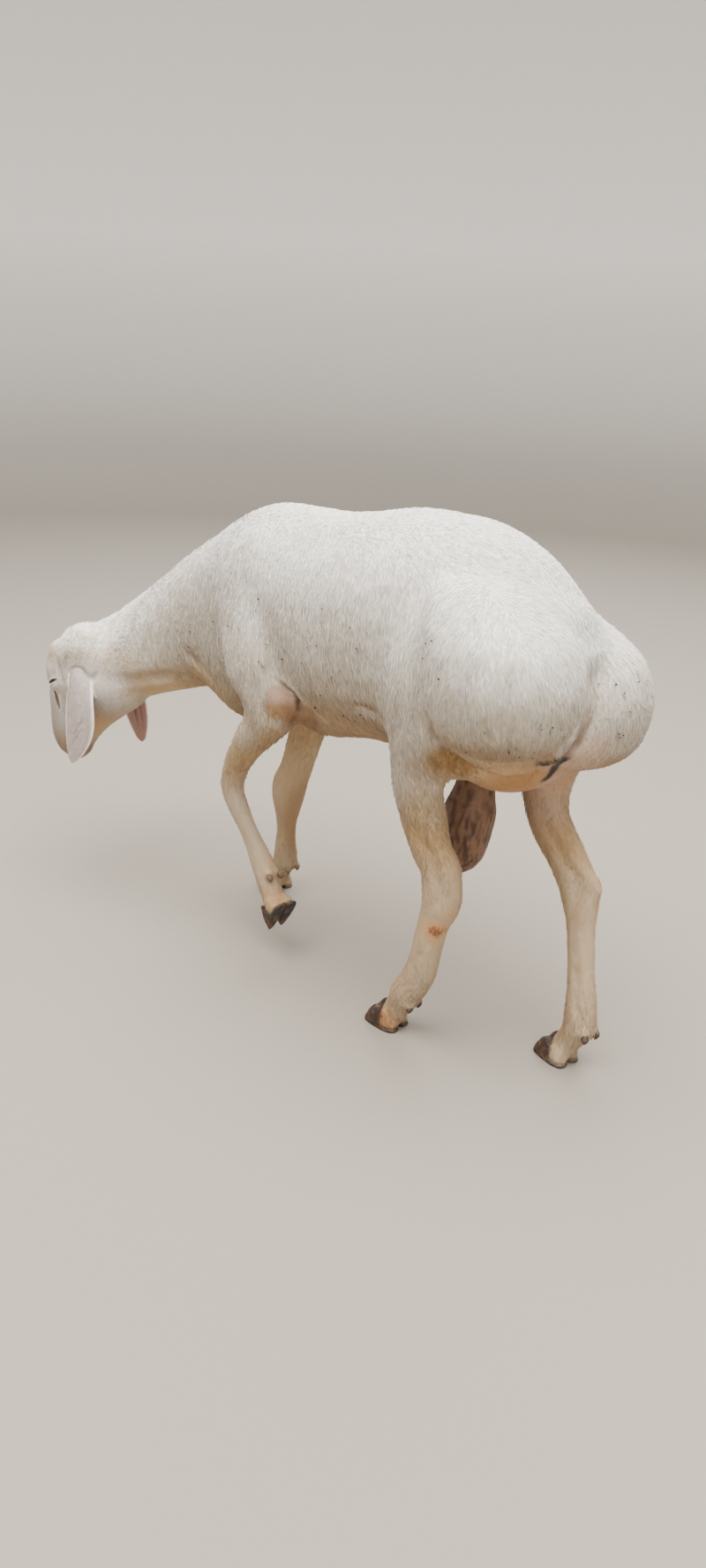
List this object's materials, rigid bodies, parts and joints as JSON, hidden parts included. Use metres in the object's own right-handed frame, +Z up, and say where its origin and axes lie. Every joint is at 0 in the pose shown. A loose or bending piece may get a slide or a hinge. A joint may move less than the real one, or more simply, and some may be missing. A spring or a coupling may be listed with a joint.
{
  "type": "shorn fat-tailed ram",
  "caption": "Life-size still model of a freshly shorn fat-tailed ram walking with its head down, long drooping ears and a broad two-lobed fat tail.",
  "frame": {"origin": "on the floor, under the middle of the box round the whole ram", "axes": "the ram faces -X, its left side is towards -Y and +Z is up"},
  "size_m": [1.192, 0.3918, 0.797],
  "materials": {
    "short_fleece": "close shorn off-white wool, cream towards the belly",
    "face_hair": "short cream hair, greyer on the nose",
    "leg_hair": "short cream and tan hair, rust-stained at the hocks",
    "ear_skin": "thin short-haired skin, pinkish white",
    "eye_amber": "wet dark amber",
    "hoof_horn": "dry dark horn, paler at the bulbs",
    "scrotum_skin": "thinly haired grey-brown skin"
  },
  "bodies": {
    "root": {"head": "face_hair", "neck": "short_fleece", "trunk": "short_fleece", "tail_lobe_left": "short_fleece", "tail_lobe_right": "short_fleece", "leg_front_left": "leg_hair", "leg_front_right": "leg_hair", "leg_hind_left": "leg_hair", "leg_hind_right": "leg_hair", "ear_left": "ear_skin", "ear_right": "ear_skin", "eye_left": "eye_amber", "eye_right": "eye_amber", "scrotum": "scrotum_skin", "claw_front_left_left": "hoof_horn", "claw_front_left_right": "hoof_horn", "claw_front_right_left": "hoof_horn", "claw_front_right_right": "hoof_horn", "claw_hind_left_left": "hoof_horn", "claw_hind_left_right": "hoof_horn", "claw_hind_right_left": "hoof_horn", "claw_hind_right_right": "hoof_horn", "dewclaw_front_left_left": "hoof_horn", "dewclaw_front_left_right": "hoof_horn", "dewclaw_front_right_left": "hoof_horn", "dewclaw_front_right_right": "hoof_horn", "dewclaw_hind_left_left": "hoof_horn", "dewclaw_hind_left_right": "hoof_horn", "dewclaw_hind_right_left": "hoof_horn", "dewclaw_hind_right_right": "hoof_horn"}
  },
  "joints": []
}
